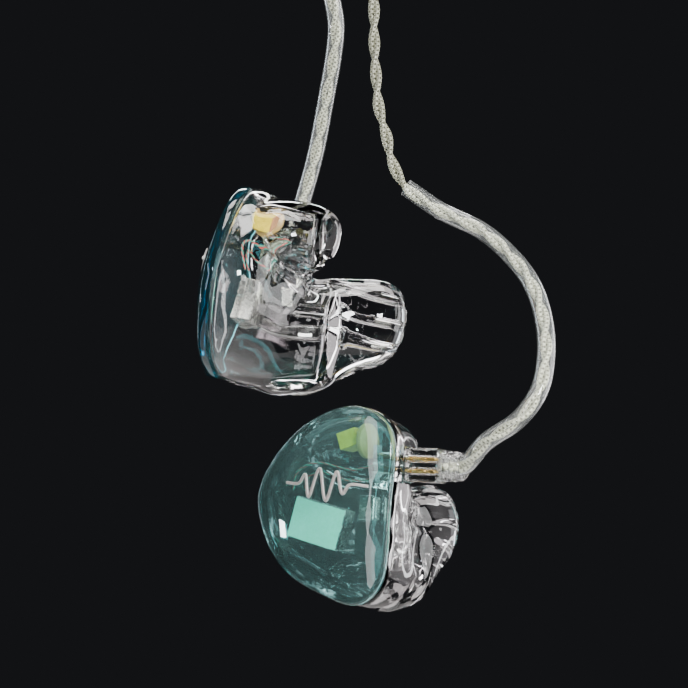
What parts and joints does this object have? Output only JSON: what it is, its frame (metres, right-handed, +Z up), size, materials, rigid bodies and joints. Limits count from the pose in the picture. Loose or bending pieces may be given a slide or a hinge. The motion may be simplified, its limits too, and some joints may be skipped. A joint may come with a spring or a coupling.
{
  "type": "in ear monitors",
  "caption": "Pair of custom-moulded clear in-ear monitors with teal faceplates, ear hooks, braided leads, chin slider, stored cable and jack.",
  "frame": {"origin": "the point at the top inside of the stored cable coil, where it hangs on a peg", "axes": "+Z up, -Y towards the side from which the right earpiece shows its faceplate, +X to that viewer's right"},
  "size_m": [0.057, 0.0431, 0.1955],
  "materials": {
    "acrylic": "polished clear",
    "teal_acrylic": "polished translucent",
    "rose_metal": "satin",
    "socket_resin": "moulded",
    "gold_plate": "polished plate",
    "mint_can": "satin",
    "steel_can": "satin",
    "board": "solder mask",
    "capacitor_resin": "moulded",
    "clear_tube": "clear soft tube",
    "red_enamel": "enamel",
    "green_enamel": "enamel",
    "braid": "fine braid under a clear jacket",
    "black_rubber": "matte",
    "black_plastic": "gloss"
  },
  "bodies": {
    "cable": {"right_plug_housing": "acrylic", "right_plug_pin_1": "gold_plate", "right_plug_pin_2": "gold_plate", "right_plug_collar": "acrylic", "right_ear_hook": "clear_tube", "right_lead": "braid", "left_plug_housing": "acrylic", "left_plug_pin_1": "gold_plate", "left_plug_pin_2": "gold_plate", "left_plug_collar": "acrylic", "left_ear_hook": "clear_tube", "left_lead": "braid", "cable_coil": "braid", "coil_tie": "black_rubber", "y_split": "steel_can", "cable_tail": "braid", "jack_strain_relief": "black_rubber", "jack_barrel": "steel_can", "jack_insulator": "black_plastic", "jack_sleeve": "gold_plate", "jack_ring": "gold_plate", "jack_tip": "gold_plate"},
    "right_earpiece": {"right_shell": "acrylic", "right_faceplate": "teal_acrylic", "right_inlay": "rose_metal", "right_socket_body": "socket_resin", "right_socket_contact_1": "gold_plate", "right_socket_contact_2": "gold_plate", "right_bass_driver": "mint_can", "right_mid_driver": "steel_can", "right_treble_driver": "steel_can", "right_crossover_board": "board", "right_capacitor": "capacitor_resin", "right_treble_tube": "clear_tube", "right_mid_tube": "clear_tube", "right_bass_tube": "clear_tube", "right_mid_damper": "steel_can", "right_bass_damper": "steel_can", "right_red_wire": "red_enamel", "right_green_wire": "green_enamel"},
    "left_earpiece": {"left_shell": "acrylic", "left_faceplate": "teal_acrylic", "left_inlay": "rose_metal", "left_socket_body": "socket_resin", "left_socket_contact_1": "gold_plate", "left_socket_contact_2": "gold_plate", "left_bass_driver": "mint_can", "left_mid_driver": "steel_can", "left_treble_driver": "steel_can", "left_crossover_board": "board", "left_capacitor": "capacitor_resin", "left_treble_tube": "clear_tube", "left_mid_tube": "clear_tube", "left_bass_tube": "clear_tube", "left_mid_damper": "steel_can", "left_bass_damper": "steel_can", "left_red_wire": "red_enamel", "left_green_wire": "green_enamel"},
    "slider": {"chin_slider": "black_plastic"}
  },
  "joints": [
    {"name": "right_unplug", "type": "slide", "parent": "cable", "child": "right_earpiece", "axis": [-0.848, 0.5299, 0], "range_m": [0, 0.006]},
    {"name": "left_unplug", "type": "slide", "parent": "cable", "child": "left_earpiece", "axis": [-0.1366, -0.9903, 0.0266], "range_m": [0, 0.006]},
    {"name": "slider_travel", "type": "slide", "parent": "cable", "child": "slider", "axis": [0, 0, 1], "range_m": [-0.004, 0.014]}
  ]
}
